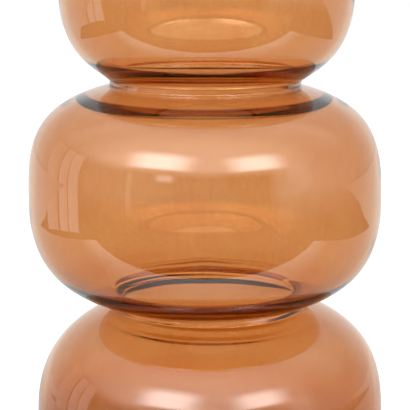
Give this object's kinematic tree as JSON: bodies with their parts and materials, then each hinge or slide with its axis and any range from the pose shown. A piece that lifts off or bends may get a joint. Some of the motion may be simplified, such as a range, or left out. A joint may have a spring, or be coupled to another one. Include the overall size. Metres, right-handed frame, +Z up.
{
  "type": "gourd vase",
  "caption": "Blown amber glass vase of stacked round bulbs, hot-joined at narrow collared waists, with a flared mouth and a hollowed standing foot.",
  "frame": {"origin": "centre of the standing ring, on the surface that the vase stands on", "axes": "+Z up along the vase's axis, -Y towards the picture's camera, +X to the picture's right"},
  "size_m": [0.2, 0.2, 0.3669],
  "materials": {
    "amber_glass": "glossy amber lustre"
  },
  "bodies": {
    "root": {"lower_bulb": "amber_glass", "lower_collar": "amber_glass", "middle_bulb": "amber_glass", "upper_collar": "amber_glass", "upper_bulb": "amber_glass", "mouth_rim": "amber_glass"}
  },
  "joints": []
}
